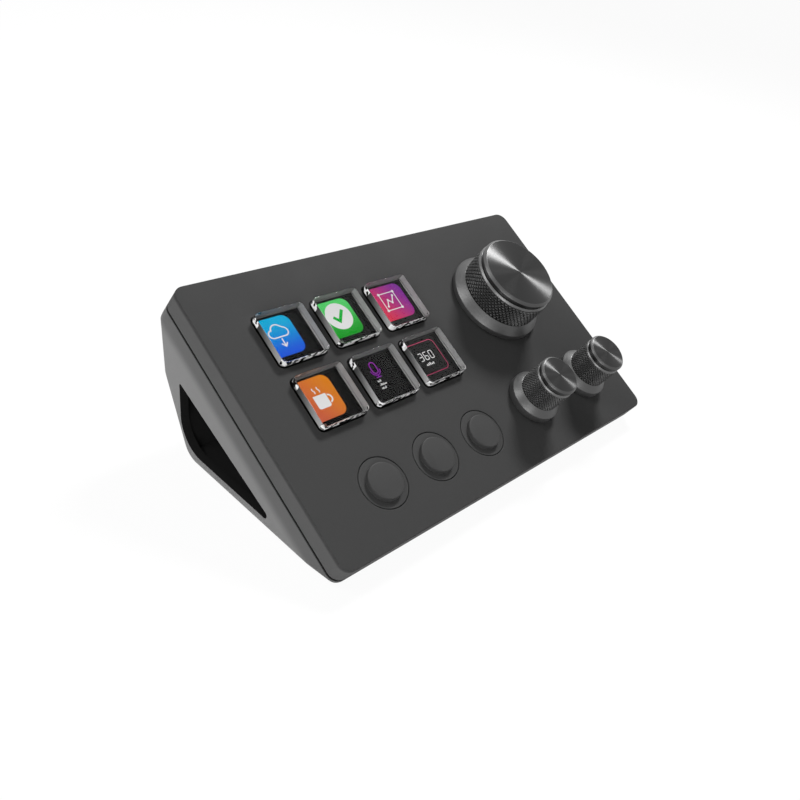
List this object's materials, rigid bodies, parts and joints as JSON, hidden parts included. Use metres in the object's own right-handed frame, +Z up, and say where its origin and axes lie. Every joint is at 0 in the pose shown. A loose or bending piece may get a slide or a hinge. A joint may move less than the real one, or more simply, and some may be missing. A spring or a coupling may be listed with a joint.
{
  "type": "macro keypad with knobs",
  "caption": "Desk macro keypad on a hollow wedge: clear screen keys, round push buttons and push-and-turn knobs on a sloping deck.",
  "frame": {"origin": "centre of the rubber pad's underside, where the part rests on the table", "axes": "+X to the user's right, +Y away from the user, +Z up; the deck faces up and towards -Y, tilted 28.3 degrees"},
  "size_m": [0.1318, 0.0751, 0.0494],
  "materials": {
    "deck_plastic": "dark grey, very fine satin grain, like a sprayed soft-touch coat",
    "housing_plastic": "dark grey satin moulding, fine grain",
    "base_plastic": "black satin moulding",
    "pad_rubber": "matt black non-slip rubber",
    "screw_steel": "black-zinc steel",
    "board_laminate": "dark green solder mask",
    "chip_resin": "black moulding resin",
    "ribbon_film": "amber flexible film",
    "connector_plastic": "ivory plastic",
    "socket_steel": "nickel-plated shell",
    "screen_glass": "black display glass, lit when in use",
    "carrier_plastic": "black inner frame",
    "mat_silicone": "dark grey silicone",
    "switch_plastic": "black switch housing",
    "encoder_metal": "zinc-plated body and bushing",
    "nut_metal": "nickel-plated brass",
    "key_acrylic": "clear acrylic with a polished top and finely frosted sides",
    "button_plastic": "dark grey satin",
    "plunger_plastic": "dark red plunger",
    "actuator_plastic": "ivory plastic",
    "shaft_metal": "drawn rod",
    "bush_nylon": "black nylon",
    "knob_turned": "dark anodised, fine turning marks",
    "knob_knurled": "dark anodised, knurled",
    "knob_spun": "dark anodised, spun face with a bright radial glint"
  },
  "bodies": {
    "base": {"top_cover": "deck_plastic", "lower_housing": "housing_plastic", "base_plate": "base_plastic", "base_pad": "pad_rubber", "base_screws": "screw_steel", "case_screws": "screw_steel", "board_screws": "screw_steel", "main_board": "board_laminate", "controller_chip": "chip_resin", "screen_ribbon": "ribbon_film", "ribbon_connector": "connector_plastic", "data_socket": "socket_steel", "screen_carrier": "carrier_plastic", "key_mat": "mat_silicone", "button_switches": "switch_plastic", "encoder_nuts": "nut_metal", "screen_1": "screen_glass", "screen_2": "screen_glass", "screen_3": "screen_glass", "screen_4": "screen_glass", "screen_5": "screen_glass", "screen_6": "screen_glass", "main_encoder": "encoder_metal", "left_encoder": "encoder_metal", "right_encoder": "encoder_metal"},
    "key_1": {"key_cap_1": "key_acrylic"},
    "key_2": {"key_cap_2": "key_acrylic"},
    "key_3": {"key_cap_3": "key_acrylic"},
    "key_4": {"key_cap_4": "key_acrylic"},
    "key_5": {"key_cap_5": "key_acrylic"},
    "key_6": {"key_cap_6": "key_acrylic"},
    "button_1": {"button_cap_1": "button_plastic", "button_plunger_1": "plunger_plastic"},
    "button_2": {"button_cap_2": "button_plastic", "button_plunger_2": "plunger_plastic"},
    "button_3": {"button_cap_3": "button_plastic", "button_plunger_3": "plunger_plastic"},
    "main_push": {"main_actuator": "actuator_plastic"},
    "main_knob": {"main_shaft": "shaft_metal", "main_knob_bush": "bush_nylon", "main_knob_skirt": "knob_turned", "main_knob_grip": "knob_knurled", "main_knob_cap": "knob_spun"},
    "left_push": {"left_actuator": "actuator_plastic"},
    "left_knob": {"left_shaft": "shaft_metal", "left_knob_bush": "bush_nylon", "left_knob_skirt": "knob_turned", "left_knob_grip": "knob_knurled", "left_knob_cap": "knob_spun"},
    "right_push": {"right_actuator": "actuator_plastic"},
    "right_knob": {"right_shaft": "shaft_metal", "right_knob_bush": "bush_nylon", "right_knob_skirt": "knob_turned", "right_knob_grip": "knob_knurled", "right_knob_cap": "knob_spun"}
  },
  "joints": [
    {"name": "key_1_press", "type": "slide", "parent": "base", "child": "key_1", "axis": [0, -0.4741, 0.8805], "range_m": [-0.0005, 0], "stiffness_N_per_m": 1200, "springref_m": 0.0003},
    {"name": "key_2_press", "type": "slide", "parent": "base", "child": "key_2", "axis": [0, -0.4741, 0.8805], "range_m": [-0.0005, 0], "stiffness_N_per_m": 1200, "springref_m": 0.0003},
    {"name": "key_3_press", "type": "slide", "parent": "base", "child": "key_3", "axis": [0, -0.4741, 0.8805], "range_m": [-0.0005, 0], "stiffness_N_per_m": 1200, "springref_m": 0.0003},
    {"name": "key_4_press", "type": "slide", "parent": "base", "child": "key_4", "axis": [0, -0.4741, 0.8805], "range_m": [-0.0005, 0], "stiffness_N_per_m": 1200, "springref_m": 0.0003},
    {"name": "key_5_press", "type": "slide", "parent": "base", "child": "key_5", "axis": [0, -0.4741, 0.8805], "range_m": [-0.0005, 0], "stiffness_N_per_m": 1200, "springref_m": 0.0003},
    {"name": "key_6_press", "type": "slide", "parent": "base", "child": "key_6", "axis": [0, -0.4741, 0.8805], "range_m": [-0.0005, 0], "stiffness_N_per_m": 1200, "springref_m": 0.0003},
    {"name": "button_1_press", "type": "slide", "parent": "base", "child": "button_1", "axis": [0, -0.4741, 0.8805], "range_m": [-0.0005, 0], "stiffness_N_per_m": 2400, "springref_m": 0.0003},
    {"name": "button_2_press", "type": "slide", "parent": "base", "child": "button_2", "axis": [0, -0.4741, 0.8805], "range_m": [-0.0005, 0], "stiffness_N_per_m": 2400, "springref_m": 0.0003},
    {"name": "button_3_press", "type": "slide", "parent": "base", "child": "button_3", "axis": [0, -0.4741, 0.8805], "range_m": [-0.0005, 0], "stiffness_N_per_m": 2400, "springref_m": 0.0003},
    {"name": "main_knob_press", "type": "slide", "parent": "base", "child": "main_push", "axis": [0, -0.4741, 0.8805], "range_m": [-0.0005, 0], "stiffness_N_per_m": 4000, "springref_m": 0.0003},
    {"name": "main_knob_turn", "type": "hinge", "parent": "main_push", "child": "main_knob", "pos_m": [0.03335, 0.00925, 0.03108], "axis": [0, -0.4741, 0.8805], "continuous": true},
    {"name": "left_knob_press", "type": "slide", "parent": "base", "child": "left_push", "axis": [0, -0.4741, 0.8805], "range_m": [-0.0005, 0], "stiffness_N_per_m": 4000, "springref_m": 0.0003},
    {"name": "left_knob_turn", "type": "hinge", "parent": "left_push", "child": "left_knob", "pos_m": [0.02065, -0.02025, 0.0152], "axis": [0, -0.4741, 0.8805], "continuous": true},
    {"name": "right_knob_press", "type": "slide", "parent": "base", "child": "right_push", "axis": [0, -0.4741, 0.8805], "range_m": [-0.0005, 0], "stiffness_N_per_m": 4000, "springref_m": 0.0003},
    {"name": "right_knob_turn", "type": "hinge", "parent": "right_push", "child": "right_knob", "pos_m": [0.04605, -0.02025, 0.0152], "axis": [0, -0.4741, 0.8805], "continuous": true}
  ]
}
